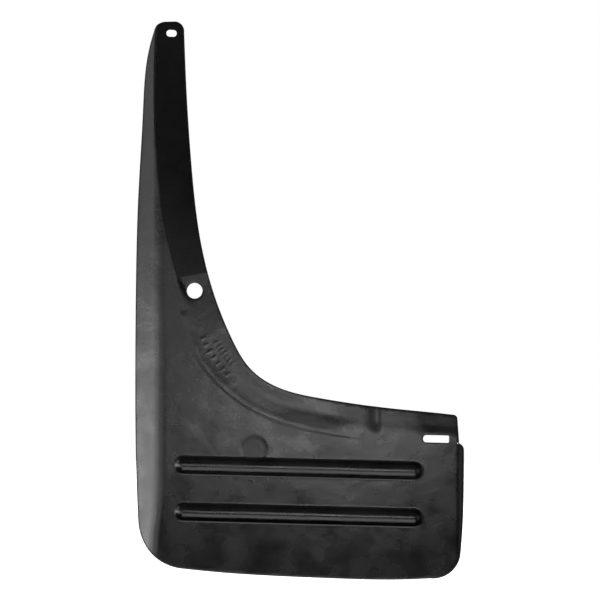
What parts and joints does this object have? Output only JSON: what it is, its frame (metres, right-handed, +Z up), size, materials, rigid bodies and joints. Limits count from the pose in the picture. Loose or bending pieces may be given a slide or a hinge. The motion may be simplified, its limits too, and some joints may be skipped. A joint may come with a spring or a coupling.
{
  "type": "mud flap",
  "caption": "Handed black rubber mud flap: ribbed splash panel, slanted outer wing and an arched screw-on flange that carries a foam anti-rub strip.",
  "frame": {"origin": "centre of the round fixing hole, on the wheel-side face of the flange", "axes": "+Z up as fitted, +X inboard across the vehicle, +Y away from the wheel, towards the vehicle body"},
  "size_m": [0.2539, 0.0262, 0.4301],
  "materials": {
    "moulded_rubber": "satin moulded thermoplastic rubber, dusty",
    "black_foam": "matt closed-cell foam"
  },
  "bodies": {
    "root": {"flap_moulding": "moulded_rubber", "foam_strip": "black_foam"}
  },
  "joints": []
}
